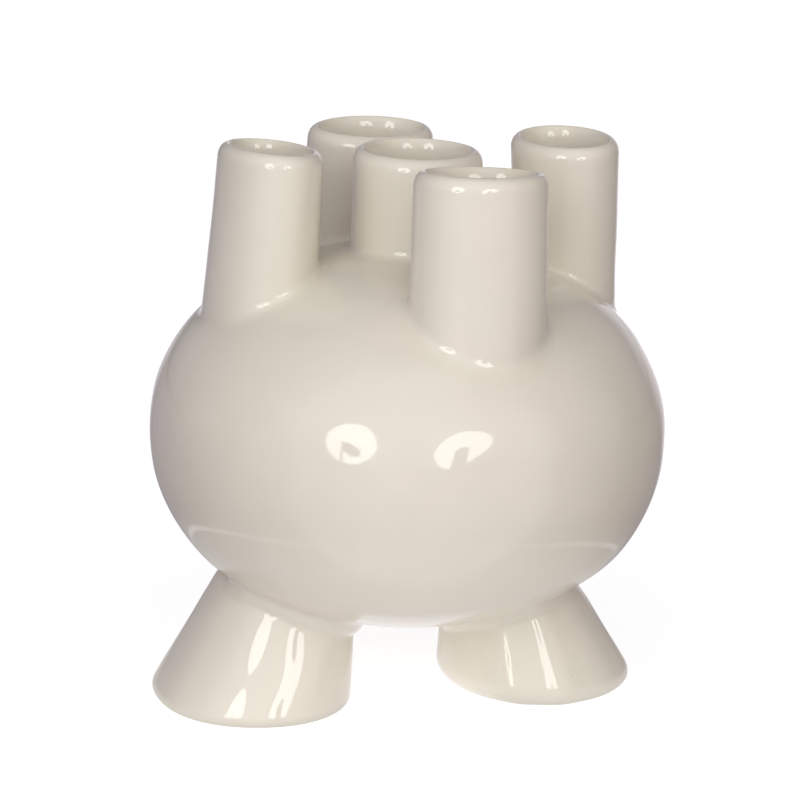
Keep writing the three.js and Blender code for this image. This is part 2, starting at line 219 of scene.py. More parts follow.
def hand_warp(p):
    """The slight unevenness of hand work: slow waves of a few tenths of a millimetre, none at the standing plane."""
    x, y, z = p[:, 0], p[:, 1], p[:, 2]
    w = np.clip(z / 22.0, 0, 1)
    w = w * w * (3 - 2 * w)
    dx = 0.10 * np.sin(0.110 * z + 0.060 * y + 1.3) + 0.05 * np.sin(0.190 * z - 0.130 * y + 0.4) + 0.02 * np.sin(0.33 * z + 0.21 * y)
    dy = 0.09 * np.sin(0.105 * z - 0.070 * x + 2.1) + 0.05 * np.sin(0.210 * z + 0.120 * x + 5.0) + 0.02 * np.sin(0.31 * z - 0.24 * x + 1.0)
    dz = 0.10 * np.sin(0.070 * x + 0.080 * y + 0.7) + 0.04 * np.sin(0.160 * x - 0.110 * y + 3.0)
    r = np.maximum(np.hypot(x, y), 1e-6)
    for (cx, cy), table in SIDE_SHAPE.items():
        k = np.clip((x * cx + y * cy) / r, 0, 1) ** 2 * np.clip((r - 20) / 30, 0, 1)
        knots = np.array(table, float)
        grow = sum(np.interp(z + d, knots[:, 0], knots[:, 1]) for d in (-5, -2.5, 0, 2.5, 5)) / 5
        dx += k * grow * x / r
        dy += k * grow * y / r
    p = p + np.stack([dx * w, dy * w, dz * w], 1)
    # Ease the outermost millimetres in, so that the widest circle keeps its size.
    for k in (0, 1):
        over = np.maximum(np.abs(p[:, k]) - 85.5, 0.0)
        p[:, k] -= np.sign(p[:, k]) * 0.11 * over * (over / 4.5) ** 2
    return p


def to_object(name, verts, faces, sharp=42.0, extras=None):
    """verts in mm above the standing plane; faces as quads and triangles."""
    me = bpy.data.meshes.new(name)
    me.from_pydata([], [], [])
    verts = np.asarray(verts, float)
    me.vertices.add(len(verts))
    me.vertices.foreach_set("co", (verts / 1000.0).astype(np.float32).ravel())
    counts = np.array([len(f) for f in faces], np.int32)
    flat = np.fromiter((i for f in faces for i in f), np.int32, int(counts.sum()))
    me.loops.add(len(flat))
    me.loops.foreach_set("vertex_index", flat)
    me.polygons.add(len(counts))
    me.polygons.foreach_set("loop_start", np.concatenate([[0], np.cumsum(counts)[:-1]]).astype(np.int32))
    me.update(calc_edges=True)
    me.validate()
    for key, values in (extras or {}).items():
        me.attributes.new(key, "FLOAT", "POINT").data.foreach_set("value", np.asarray(values, np.float32))
    me.polygons.foreach_set("use_smooth", np.ones(len(me.polygons), bool))
    if sharp:
        me.set_sharp_from_angle(angle=math.radians(sharp))
    ob = bpy.data.objects.new(name, me)
    bpy.context.scene.collection.objects.link(ob)
    return ob


def ring_faces(rows, seg, wrap=False, flip=False):
    out = []
    last = rows if wrap else rows - 1
    for j in range(last):
        a, b = j * seg, ((j + 1) % rows) * seg
        for i in range(seg):
            k = (i + 1) % seg
            q = (a + i, a + k, b + k, b + i)
            out.append(q[::-1] if flip else q)
    return out


def lathe(rings, flip=False):
    """Closed skin through rings (rows, seg, 3); the first and last rows are single points."""
    rows, seg = rings.shape[0], rings.shape[1]
    verts = [rings[0, 0]]
    body = rings[1:-1].reshape(-1, 3)
    verts = np.concatenate([[rings[0, 0]], body, [rings[-1, 0]]])
    faces = [tuple(i + 1 for i in f) for f in ring_faces(rows - 2, seg)]
    top = (rows - 3) * seg + 1
    end = len(verts) - 1
    for i in range(seg):
        k = (i + 1) % seg
        faces.append((0, 1 + k, 1 + i))
        faces.append((end, top + i, top + k))
    if flip:
        faces = [f[::-1] for f in faces]
    return verts, faces


# ------------------------------------------------------------------ spouts


def spout_frame(s):
    a = s["angle"] * DEG
    al = np.array([math.cos(a), math.sin(a), 0.0])
    ac = np.array([-math.sin(a), math.cos(a), 0.0])
    top = al * s["reach"] + ac * s["side"] + np.array([CLUSTER[0], CLUSTER[1], 0])
    top[2] = s["mouth"] - BODY_Z
    return al, ac, top


def wall_point(s, f, turn, inset, drop):
    al, ac, top = f
    turn, inset, drop = np.broadcast_arrays(turn, inset, drop)
    u = (s["along"] + s["growth"] * drop - inset) * np.cos(turn) - math.tan(s["lean"][0] * DEG) * drop
    v = (s["across"] + s["growth"] * drop - inset) * np.sin(turn) - math.tan(s["lean"][1] * DEG) * drop
    p = top + al * u[..., None] + ac * v[..., None]
    p[..., 2] = top[2] - drop
    return p


def wall_drop(s, f, turn, inset, off):
    lo, hi = np.zeros_like(turn), np.full_like(turn, 150.0)
    for _ in range(50):
        mid = (lo + hi) / 2
        p = wall_point(s, f, turn, inset, mid)
        above = p[..., 2] > body_height(p[..., 0], p[..., 1], 1, off)
        lo, hi = np.where(above, mid, lo), np.where(above, hi, mid)
    return lo


def slanted(s, f, p, share=1.0):
    al, ac, top = f
    flat = p - top
    p = p.copy()
    p[..., 2] += share * ((flat @ al) * math.tan(s["slant"][0] * DEG) + (flat @ ac) * math.tan(s["slant"][1] * DEG))
    return p


def spout_mesh(name, seg=168):
    s = SPOUTS[name]
    f = spout_frame(s)
    al, ac, top = f
    turn = np.arange(seg) / seg * TAU
    out = al * (np.cos(turn) / s["along"])[:, None] + ac * (np.sin(turn) / s["across"])[:, None]
    out /= np.linalg.norm(out, axis=1)[:, None]
    drop = wall_drop(s, f, turn, 0.0, 0.0)
    rise = around(SPOUT_FILLET[name], turn, 1)
    reach = around(SPOUT_FILLET[name], turn, 2)
    foot = wall_point(s, f, turn, 0.0, drop)
    edge = foot + out * reach[:, None]
    slope = body_slope(edge[:, 0], edge[:, 1], 1, out[:, 0], out[:, 1])
    low = edge.copy()
    low[:, 2] = body_height(edge[:, 0], edge[:, 1], 1) - 0.02
    low_in = low - out * (0.74 * reach)[:, None]
    low_in[:, 2] = low[:, 2] - 0.74 * reach * slope
    high = wall_point(s, f, turn, 0.0, drop - rise)
    high_in = wall_point(s, f, turn, 0.0, drop - 0.22 * rise)
    rings = []
    tags = []
    for t in np.linspace(0, 1, 17):
        rings.append(bezier(low, low_in, high_in, high, t)); tags.append(("fillet", t))
    rim = slanted(s, f, wall_point(s, f, turn, 0.0, RIM_DOWN))
    for t in np.linspace(0, 1, 15)[1:-1]:
        rings.append(high * (1 - t) + rim * t); tags.append(("wall", t))
    for t in np.linspace(0, 1, 17):
        q = t * math.pi / 2
        rings.append(slanted(s, f, wall_point(s, f, turn, RIM_ACROSS * (1 - math.cos(q)), RIM_DOWN * (1 - math.sin(q)))))
        tags.append(("rim", t))
    for t in np.linspace(0, 1, 15)[1:]:
        q = t * math.pi / 2
        rings.append(slanted(s, f, wall_point(s, f, turn, RIM_ACROSS + (LIP_WALL - RIM_ACROSS) * math.sin(q), LIP_DOWN * (1 - math.cos(q)))))
        tags.append(("lip", t))
    lip = rings[-1]
    inner_drop = wall_drop(s, f, turn, SPOUT_WALL, -0.05)
    inner = wall_point(s, f, turn, SPOUT_WALL, inner_drop)
    for t in np.linspace(0, 1, 15)[1:]:
        rings.append(lip * (1 - t) + inner * t); tags.append(("bore", t))
    for t in (0.35, 0.7, 1.0):
        p = inner * (1 - t) + (edge - out * 0.25) * t
        p[:, 2] = body_height(p[:, 0], p[:, 1], 1) - 0.08
        rings.append(p); tags.append(("under", t))
    rings = np.array(rings)
    # Darker glaze over the fillet and the foot of the wall: thicker glaze, and painted shade in the joint.
    pool_and_shade = np.zeros(rings.shape[:2])
    lipv = np.zeros(rings.shape[:2])
    bore = np.zeros(rings.shape[:2])
    for j, (kind, t) in enumerate(tags):
        if kind == "fillet":
            pool_and_shade[j] = 0.35 + 0.65 * math.sin(math.pi * min(1, t * 1.1)) if t < 0.9 else 0.25
        elif kind == "wall":
            pool_and_shade[j] = max(0, 0.25 - 0.8 * t)
        elif kind == "rim":
            lipv[j] = t ** 3
        elif kind == "lip":
            lipv[j] = 1.0
        elif kind == "bore":
            lipv[j] = max(0, 1 - 6 * t)
            bore[j] = t
    verts = rings.reshape(-1, 3) + np.array([0, 0, BODY_Z])
    faces = ring_faces(len(rings), seg, wrap=True)
    return to_object(name + "_glazed", hand_warp(verts), faces,
                     extras={"pool_and_shade": pool_and_shade.ravel(), "lip": lipv.ravel(), "bore": bore.ravel(), "bare": 0 * pool_and_shade.ravel()})


def tube(ring_a, ring_b):
    """Closed prism between two rings of points."""
    seg = len(ring_a)
    verts = np.concatenate([ring_a, ring_b, [ring_a.mean(0)], [ring_b.mean(0)]])
    faces = [(i, (i + 1) % seg, seg + (i + 1) % seg, seg + i) for i in range(seg)]
    for i in range(seg):
        k = (i + 1) % seg
        faces.append((2 * seg, k, i))
        faces.append((2 * seg + 1, seg + i, seg + k))
    return verts, faces


# ------------------------------------------------------------------ feet


def foot_frame(t):
    a = t["angle"] * DEG
    al = np.array([math.cos(a), math.sin(a), 0.0])
    ac = np.array([-math.sin(a), math.cos(a), 0.0])
    return al, ac, np.array([t["x"], t["y"], -BODY_Z])


def foot_point(t, f, turn, r, up):
    al, ac, base = f
    turn, r, up = np.broadcast_arrays(turn, r, up)
    e = 2 / t["square"]
    c = np.sign(np.cos(turn)) * np.abs(np.cos(turn)) ** e
    s = np.sign(np.sin(turn)) * np.abs(np.sin(turn)) ** e
    h = np.clip(up / 34.0, 0, 1.3)
    r = r + np.clip(r / 24.0, 0, 1) * (around(t["shape"], turn, 1) * np.clip(1 - h, 0, 1) + around(t["shape"], turn, 2) * h
                                       + around(t["shape"], turn, 3) * np.sin(TAU * np.clip(h, 0, 1)))
    p = base + al * (r * c - math.tan(t["lean"] * DEG) * up)[..., None] + ac * (r * t["across"] * s)[..., None]
    p[..., 2] = base[2] + up
    return p


def cone_radius(t, up):
    k = math.tan(t["splay"] * DEG)
    corner = t["base"] - t["round"] + t["round"] * math.cos(t["splay"] * DEG)
    corner_up = t["round"] + t["round"] * math.sin(t["splay"] * DEG)
    return corner - (up - corner_up) * k


def cone_top(t, f, turn, inset, off):
    lo, hi = np.full_like(turn, 10.0), np.full_like(turn, 90.0)
    for _ in range(50):
        mid = (lo + hi) / 2
        p = foot_point(t, f, turn, cone_radius(t, mid) - inset, mid)
        below = p[..., 2] < body_height(p[..., 0], p[..., 1], -1, off)
        lo, hi = np.where(below, mid, lo), np.where(below, hi, mid)
    return lo


def soften(line, widths, rounds=90):
    """Smooth each column of line (n, seg, 3) along its length; widths in mm; its ends stay."""
    length = np.linalg.norm(np.diff(line, axis=0), axis=2).sum(0)
    step = length / (len(line) - 1)
    k = np.minimum(widths ** 2 / (2 * rounds * step ** 2), 0.45)[None, :, None]
    for _ in range(rounds):
        line = np.concatenate([line[:1], line[1:-1] + k * (line[2:] - 2 * line[1:-1] + line[:-2]), line[-1:]])
    return line


def respaced(line, count):
    """The columns of line (n, seg, 3), each taken again at count even steps of its length."""
    s = np.concatenate([np.zeros((1, line.shape[1])), np.cumsum(np.linalg.norm(np.diff(line, axis=0), axis=2), axis=0)])
    out = np.empty((count,) + line.shape[1:])
    for i in range(line.shape[1]):
        want = np.linspace(0, s[-1, i], count)
        for k in range(3):
            out[:, i, k] = np.interp(want, s[:, i], line[:, i, k])
    return out, s[-1]


def foot_mesh(name, seg=216):
    t = FEET[name]
    f = foot_frame(t)
    al, ac, base = f
    turn = np.arange(seg) / seg * TAU
    out = al * np.cos(turn)[:, None] + ac * (np.sin(turn) / t["across"])[:, None]
    out /= np.linalg.norm(out, axis=1)[:, None]
    top = cone_top(t, f, turn, 0.0, 0.0)
    joint = foot_point(t, f, turn, cone_radius(t, top), top)
    drop, swell, spread, soft = (around(COLLAR[name], turn, k) for k in (1, 2, 3, 4))
    rings, tags = [], []

    def add(ring, kind, q):
        rings.append(ring)
        tags.append((kind, q))

    flat = t["base"] - t["round"]
    add(foot_point(t, f, turn, 0.0, 0.0), "base", 0)
    for q in (0.25, 0.5, 0.7, 0.85, 0.93, 0.97, 1.0):
        add(foot_point(t, f, turn, flat * q, 0.0), "base", q)
    end = math.pi / 2 + t["splay"] * DEG
    for q in np.linspace(0, 1, 15)[1:]:
        a = -math.pi / 2 + q * end
        add(foot_point(t, f, turn, flat + t["round"] * math.cos(a), t["round"] + t["round"] * math.sin(a)), "heel", q)
    heel_up = t["round"] + t["round"] * math.sin(t["splay"] * DEG)
    crease_up = top - drop
    # One line from the heel up the wall, over the collar and on to the belly.
    line = []
    for q in np.linspace(0, 1, 121):
        up = heel_up + (crease_up - heel_up) * q
        line.append(foot_point(t, f, turn, cone_radius(t, up), up))
    crease = line[-1]
    lean = joint - crease
    lean /= np.maximum(np.linalg.norm(lean, axis=1), 1e-6)[:, None]
    edge = joint + out * spread[:, None]
    high = edge.copy()
    high[:, 2] = body_height(edge[:, 0], edge[:, 1], -1) - 0.03
    slope = body_slope(edge[:, 0], edge[:, 1], -1, out[:, 0], out[:, 1])
    back = np.maximum(spread, 0) * 0.60
    high_in = high - out * back[:, None]
    high_in[:, 2] = high[:, 2] - back * slope
    first = crease + out * (1.05 * swell)[:, None] + lean * (0.16 * drop)[:, None]
    for q in np.linspace(0, 1, 81)[1:]:
        line.append(bezier(crease, first, high_in, high, q))
    further = np.where(spread > 0, 5.0 * np.clip(spread / 2, 0, 1), -2.0 * np.clip(-spread / 0.5, 0, 1))
    for q in np.linspace(0, 1, 51)[1:]:
        p = edge + out * (further * q)[:, None]
        p[:, 2] = body_height(p[:, 0], p[:, 1], -1) - 0.03 + 0.07 * q
        line.append(p)
    line, length = respaced(np.array(line), 300)
    line = soften(line, soft)
    low_part = np.linalg.norm(crease - line[0], axis=1)
    steps = 112
    for j in range(1, steps + 1):
        at = j / steps * 299
        i = min(int(at), 298)
        add(line[i] * (i + 1 - at) + line[i + 1] * (at - i), "side", j / steps * length - low_part)
    last = rings[-1]
    # Hidden part inside the belly, then the hollow.
    inner_top = cone_top(t, f, turn, FOOT_WALL, -0.4)
    inner = foot_point(t, f, turn, cone_radius(t, inner_top) - FOOT_WALL, inner_top)
    for q in (0.04, 0.3, 0.7, 1.0):
        p = last * (1 - q) + inner * q
        p[:, 2] = body_height(p[:, 0], p[:, 1], -1) + (0.5 if q > 0.1 else 0.25)
        add(p, "under", q)
    low = cone_radius(t, FOOT_FLOOR) - FOOT_WALL
    deep = foot_point(t, f, turn, low - 2, FOOT_FLOOR + 2.4)
    for q in np.linspace(0, 1, 11)[1:]:
        add(p * (1 - q) + deep * q, "hollow", q)
    add(foot_point(t, f, turn, low - 3, FOOT_FLOOR + 0.9), "hollow", 1)
    add(foot_point(t, f, turn, low - 5, FOOT_FLOOR), "hollow", 1)
    add(foot_point(t, f, turn, low * 0.5, FOOT_FLOOR), "hollow", 1)
    add(foot_point(t, f, turn, 0.0, FOOT_FLOOR), "hollow", 1)
    rings = np.array(rings)
    # Darker glaze at the heel and below the collar's crease: thicker glaze, and painted shade.
    pool_and_shade = np.zeros(rings.shape[:2])
    lipv = np.zeros(rings.shape[:2])
    bare = np.zeros(rings.shape[:2])
    for j, (kind, q) in enumerate(tags):
        if kind == "base":
            bare[j] = 1.0 if q < 0.98 else 0.6
        elif kind == "heel":
            lipv[j] = max(0.0, 1 - 2.5 * q)
            bare[j] = max(0.0, 0.5 - 6 * q)
            pool_and_shade[j] = 0.25 * math.sin(math.pi * q)
        elif kind == "side":
            pool_and_shade[j] = 0.45 * np.exp(-(q / 1.3) ** 2) + 0.20 * np.exp(-((q - 3.0) / 4.0) ** 2)
    verts, faces = lathe(rings)
    ex = {}
    for key, val in (("pool_and_shade", pool_and_shade), ("lip", lipv), ("bare", bare)):
        ex[key] = np.concatenate([[val[0, 0]], val[1:-1].ravel(), [val[-1, 0]]])
    ex["bore"] = 0 * ex["pool_and_shade"]
    verts = verts + np.array([0, 0, BODY_Z])
    return to_object(name + "_glazed", hand_warp(verts), faces, sharp=50, extras=ex)


# ------------------------------------------------------------------ body


def body_rings(off, rows, seg):
    r, z = body_profile(off, rows)
    a = np.arange(seg) / seg * TAU
    x = r[:, None] * np.cos(a)
    y = r[:, None] * np.sin(a)
    zz = z[:, None] + TILT[0] * x + TILT[1] * y
    return np.stack([x, y, zz], -1)


def joint_distance(p):
    """Distance in plan from points of the body to the nearest joint with a spout or a foot."""
    best = np.full(len(p), 99.0)
    up = p[:, 2] > 0
    for name, s in SPOUTS.items():
        al, ac, top = spout_frame(s)
        drop = top[2] - p[:, 2]
        u = (p - top) @ al + math.tan(s["lean"][0] * DEG) * drop
        v = (p - top) @ ac + math.tan(s["lean"][1] * DEG) * drop
        a, c = s["along"] + s["growth"] * drop, s["across"] + s["growth"] * drop
        d = (np.hypot(u / a, v / c) - 1) * (a + c) / 2
        best = np.where(up, np.minimum(best, np.abs(d)), best)
    for name, t in FEET.items():
        al, ac, base = foot_frame(t)
        h = p[:, 2] - base[2]
        u = (p - base) @ al + math.tan(t["lean"] * DEG) * h
        v = ((p - base) @ ac) / t["across"]
        d = np.hypot(u, v) - cone_radius(t, h)
        best = np.where(~up, np.minimum(best, np.abs(d)), best)
    return best


def body_mesh():
    outer_v, outer_f = lathe(body_rings(0.0, 221, 360))
    inner_v, inner_f = lathe(body_rings(-BODY_WALL, 91, 180), flip=True)
    verts = np.concatenate([outer_v, inner_v])
    faces = outer_f + [tuple(i + len(outer_v) for i in q) for q in inner_f]
    shell = to_object("body_shell_glazed", verts + np.array([0, 0, BODY_Z]), faces, sharp=None)
    cut_v, cut_f = [], []
    for name, s in SPOUTS.items():
        f = spout_frame(s)
        turn = np.arange(144) / 144 * TAU
        v, q = tube(wall_point(s, f, turn, SPOUT_WALL - 0.06, np.full_like(turn, 120.0)),
                    wall_point(s, f, turn, SPOUT_WALL - 0.06, np.full_like(turn, 20.0)))
        cut_f += [tuple(i + sum(len(c) for c in cut_v) for i in k) for k in q]
        cut_v.append(v)
    for name, t in FEET.items():
        f = foot_frame(t)
        turn = np.arange(120) / 120 * TAU
        v, q = tube(foot_point(t, f, turn, FOOT_HOLE, 20.0), foot_point(t, f, turn, FOOT_HOLE, 62.0))
        cut_f += [tuple(i + sum(len(c) for c in cut_v) for i in k) for k in q]
        cut_v.append(v)
    cutter = to_object("cutter", np.concatenate(cut_v) + np.array([0, 0, BODY_Z]), cut_f, sharp=None)
    mod = shell.modifiers.new("holes", "BOOLEAN")
    mod.operation = "DIFFERENCE"
    mod.solver = "MANIFOLD"
    mod.object = cutter
    done = bpy.data.meshes.new_from_object(shell.evaluated_get(bpy.context.evaluated_depsgraph_get()))
    shell.modifiers.clear()
    old = shell.data
    shell.data = done
    done.name = "body_shell_glazed"
    done.materials.clear()
    done.polygons.foreach_set("material_index", np.zeros(len(done.polygons), np.int32))
    bpy.data.meshes.remove(old)
    cut_me = cutter.data
    bpy.data.objects.remove(cutter)
    bpy.data.meshes.remove(cut_me)
    count = len(done.vertices)
    co = np.empty(count * 3, np.float32)
    done.vertices.foreach_get("co", co)
    p = co.reshape(-1, 3).astype(float) * 1000.0
    rel = p - np.array([0, 0, BODY_Z])
    d = joint_distance(rel)
    for key in ("pool_and_shade", "lip", "bore", "bare"):
        values = np.zeros(count)
        # Darker glaze on the body near its joints with spouts and feet: thicker glaze, and painted shade.
        if key == "pool_and_shade":
            values = 0.20 * np.exp(-np.maximum(d - 4.0, 0) / 3.0)
        done.attributes.new(key, "FLOAT", "POINT").data.foreach_set("value", values.astype(np.float32))
    p = hand_warp(p)
    done.vertices.foreach_set("co", (p / 1000.0).astype(np.float32).ravel())
    done.update()
    done.polygons.foreach_set("use_smooth", np.ones(len(done.polygons), bool))
    done.set_sharp_from_angle(angle=math.radians(35))
    return shell


# ------------------------------------------------------------------ glaze


class Nodes:
    """Small helper that makes and joins shader nodes."""

    def __init__(self, tree):
        self.tree = tree
        self.tree.nodes.clear()
        self.x = 0

    def new(self, kind, **settings):
        n = self.tree.nodes.new(kind)
        n.location = (self.x, 0)
        self.x += 180
        for k, v in settings.items():
            setattr(n, k, v)
        return n

    def put(self, socket, value):
        if isinstance(value, bpy.types.NodeSocket):
            self.tree.links.new(value, socket)
        else:
            socket.default_value = value

    def math(self, op, a, b=0.0, c=None, clamp=False):
        n = self.new("ShaderNodeMath", operation=op, use_clamp=clamp)
        self.put(n.inputs[0], a)
        self.put(n.inputs[1], b)
        if c is not None:
            self.put(n.inputs[2], c)
        return n.outputs[0]

    def ramp(self, value, a, b, lo=0.0, hi=1.0, smooth=True):
        n = self.new("ShaderNodeMapRange", interpolation_type="SMOOTHSTEP" if smooth else "LINEAR")
        self.put(n.inputs["Value"], value)
        for key, v in (("From Min", a), ("From Max", b), ("To Min", lo), ("To Max", hi)):
            n.inputs[key].default_value = v
        return n.outputs["Result"]

    def mix(self, fac, a, b, blend="MIX"):
        n = self.new("ShaderNodeMix", data_type="RGBA", blend_type=blend)
        self.put(n.inputs["Factor"], fac)
        for key, v in (("A", a), ("B", b)):
            sock = [s for s in n.inputs if s.name == key and s.type == "RGBA"][0]
            self.put(sock, v if isinstance(v, bpy.types.NodeSocket) else tuple(v) + (1.0,))
        return [s for s in n.outputs if s.type == "RGBA"][0]

    def noise(self, vector, scale, detail=2.0, rough=0.5):
        n = self.new("ShaderNodeTexNoise")
        self.put(n.inputs["Vector"], vector)
        n.inputs["Scale"].default_value = scale
        n.inputs["Detail"].default_value = detail
        n.inputs["Roughness"].default_value = rough
        return n.outputs["Fac"] if "Fac" in n.outputs else n.outputs[0]

    def attribute(self, name):
        return self.new("ShaderNodeAttribute", attribute_name=name).outputs["Fac"]


def glaze_material():
    mat = bpy.data.materials.new("cream_glaze")
    mat.use_nodes = True
    g = Nodes(mat.node_tree)
    where = g.new("ShaderNodeTexCoord").outputs["Object"]
    # Colour: two close creams that drift into each other over a few centimetres.
    drift = g.ramp(g.noise(where, 21.0, 2.5, 0.55), 0.36, 0.64)
    warm = g.mix(drift, (0.814, 0.757, 0.662), (0.800, 0.752, 0.650))
    cloud = g.ramp(g.noise(where, 60.0, 3.0, 0.6), 0.30, 0.70, 0.985, 1.012, smooth=False)
    n = g.new("ShaderNodeVectorMath", operation="SCALE")
    g.put(n.inputs[0], warm)
    g.put(n.inputs["Scale"], cloud)
    base = n.outputs[0]
    # The glaze is darkened in the joints, creases and heels: thicker glaze lies there, and this also paints the shade
    # that falls there.
    pool_and_shade = g.math("MULTIPLY", g.attribute("pool_and_shade"), g.ramp(g.noise(where, 90.0, 2.0), 0.30, 0.70, 0.6, 1.0))
    base = g.mix(g.math("MULTIPLY", pool_and_shade, 0.30, clamp=True), base, (0.700, 0.640, 0.530))
    # Thinner over the lips, where the body shows through faintly.
    thin = g.math("MULTIPLY", g.attribute("lip"), g.ramp(g.noise(where, 160.0, 2.0), 0.42, 0.62, 0.05, 0.40))
    base = g.mix(thin, base, (0.800, 0.715, 0.585))
    # Sparse pinholes and iron specks.
    v = g.new("ShaderNodeTexVoronoi", feature="F1")
    g.put(v.inputs["Vector"], where)
    v.inputs["Scale"].default_value = 95.0
    pick = g.new("ShaderNodeSeparateColor")
    g.put(pick.inputs[0], v.outputs["Color"])
    rare = g.ramp(pick.outputs[0], 0.80, 0.82, smooth=False)
    size = g.ramp(pick.outputs[1], 0.0, 1.0, 0.020, 0.045, smooth=False)
    near = g.math("SUBTRACT", 1.0, g.math("DIVIDE", v.outputs["Distance"], size), clamp=True)
    speck = g.math("MULTIPLY", g.ramp(near, 0.0, 0.6), rare)
    base = g.mix(g.math("MULTIPLY", speck, 0.45), base, (0.43, 0.36, 0.27))
    # Bare clay under the feet.
    grit = g.noise(where, 1400.0, 3.0, 0.7)
    clay = g.mix(g.ramp(grit, 0.35, 0.65), (0.56, 0.47, 0.37), (0.66, 0.58, 0.47))
    bare = g.ramp(g.math("ADD", g.attribute("bare"), g.ramp(g.noise(where, 300.0, 2.0), 0.0, 1.0, -0.2, 0.2, smooth=False)), 0.40, 0.62)
    base = g.mix(bare, base, clay)
    # Surface: faint orange peel, pinholes, and grit where it is bare.
    peel = g.math("MULTIPLY", g.noise(where, 260.0, 2.0, 0.5), 0.25)
    slow = g.math("MULTIPLY", g.noise(where, 75.0, 1.0, 0.5), 1.6)
    relief = g.math("ADD", g.math("ADD", peel, slow), g.math("MULTIPLY", speck, -0.9))
    relief = g.math("ADD", relief, g.math("MULTIPLY", g.math("MULTIPLY", grit, bare), 3.0))
    bump = g.new("ShaderNodeBump")
    bump.inputs["Strength"].default_value = 0.5
    bump.inputs["Distance"].default_value = 0.00006
    g.put(bump.inputs["Height"], relief)
    rough = g.ramp(g.noise(where, 48.0, 2.0), 0.35, 0.65, 0.042, 0.066, smooth=False)
    rough = g.math("ADD", g.math("ADD", rough, g.math("MULTIPLY", speck, 0.25)), g.math("MULTIPLY", bare, 0.75), clamp=True)
    p = g.new("ShaderNodeBsdfPrincipled")
    g.put(p.inputs["Base Color"], base)
    g.put(p.inputs["Roughness"], rough)
    g.put(p.inputs["Normal"], bump.outputs["Normal"])
    p.inputs["IOR"].default_value = 1.5
    o = g.new("ShaderNodeOutputMaterial")
    g.put(o.inputs["Surface"], p.outputs[0])
    return mat


# ------------------------------------------------------------------ studio


def direction(az, el):
    """Unit vector; azimuth 0 is the front, -Y, and 90 the right, +X."""
    a, e = az * DEG, el * DEG
    return (math.sin(a) * math.cos(e), -math.cos(a) * math.cos(e), math.sin(e))


# Soft surroundings of the vase: azimuth and elevation of each glow's middle, the
# angles from which and to which it fades, and its level.
SKY = [
    (0, 90, 15, 50, (0.070, 0.071, 0.067)),
    (-150, 42, 12, 48, (0.061, 0.046, 0.077)),
    (-90, 42, 12, 48, (0.234, 0.224, 0.224)),
    (-40, 42, 12, 48, (0.415, 0.431, 0.410)),
    (10, 42, 12, 48, (0.370, 0.368, 0.327)),
    (60, 42, 12, 48, (0.117, 0.097, 0.100)),
    (160, 42, 12, 48, (0.052, 0.044, 0.082)),
    (-180, 8, 12, 42, (0.158, 0.160, 0.173)),
    (-140, 8, 12, 42, (0.112, 0.092, 0.128)),
    (-100, 8, 12, 42, (0.173, 0.154, 0.166)),
    (-60, 8, 12, 42, (0.338, 0.341, 0.352)),
    (-20, 8, 12, 42, (0.500, 0.508, 0.486)),
    (20, 8, 12, 42, (0.380, 0.362, 0.345)),
    (60, 8, 12, 42, (0.158, 0.143, 0.145)),
    (100, 8, 12, 42, (0.080, 0.054, 0.080)),
    (140, 8, 12, 42, (0.197, 0.186, 0.202)),
]
# The same on the floor: the radii (m) between which a glow rises and fades, the
# azimuth and half-width of its sector, and its level.
GROUND = [
    (0.0, 0.0, 0.08, 0.2, None, 0, (0.733, 0.719, 0.712)),
    (0.08, 0.2, 0.3, 0.55, -109, 60, (0.087, 0.053, 0.077)),
    (0.08, 0.2, 0.3, 0.55, -19, 60, (0.029, 0.035, 0.019)),
    (0.08, 0.2, 0.3, 0.55, 71, 60, (0.056, 0.022, 0.036)),
    (0.08, 0.2, 0.3, 0.55, 161, 60, (0.279, 0.274, 0.284)),
    (0.3, 0.55, 1.0, 6.0, -109, 60, (0.118, 0.098, 0.146)),
    (0.3, 0.55, 1.0, 6.0, -19, 60, (0.300, 0.276, 0.276)),
    (0.3, 0.55, 1.0, 6.0, 71, 60, (0.069, 0.043, 0.031)),
    (0.3, 0.55, 1.0, 6.0, 161, 60, (0.246, 0.234, 0.247)),
    (0.139, 0.144, 0.147, 0.152, -92, 45, (0.60, 0.60, 0.62)),
    (0.139, 0.144, 0.147, 0.152, 55, 40, (0.50, 0.50, 0.52)),
]
# Glows that go on from the air to the floor: the pale backdrop straight behind
# the vase, the lit front of the room, and a bright spot low in it.
AROUND = [
    (161, -12, 5, 15, (2.6, 2.6, 2.6)),
    (150, -8, 8, 27, (0.60, 0.58, 0.62)),
    (178, -12, 4, 14, (0.42, 0.41, 0.43)),
    (-13, 14, 56, 59, (0.410, 0.403, 0.417)),
    (-31, -6, 7, 11, (0.270, 0.278, 0.272)),
]


def scaled(g, colour, k):
    n = g.new("ShaderNodeVectorMath", operation="SCALE")
    n.inputs[0].default_value = colour
    g.put(n.inputs["Scale"], k)
    return n.outputs[0]


def added(g, a, b):
    n = g.new("ShaderNodeVectorMath", operation="ADD")
    g.put(n.inputs[0], a)
    g.put(n.inputs[1], b)
    return n.outputs[0]


def lobe(g, vec, az, el, full, none):
    """1 in the directions within full degrees of (az, el), 0 beyond none degrees."""
    d = g.new("ShaderNodeVectorMath", operation="DOT_PRODUCT")
    g.put(d.inputs[0], vec)
    d.inputs[1].default_value = direction(az, el)
    return g.ramp(d.outputs["Value"], math.cos(none * DEG), math.cos(full * DEG))


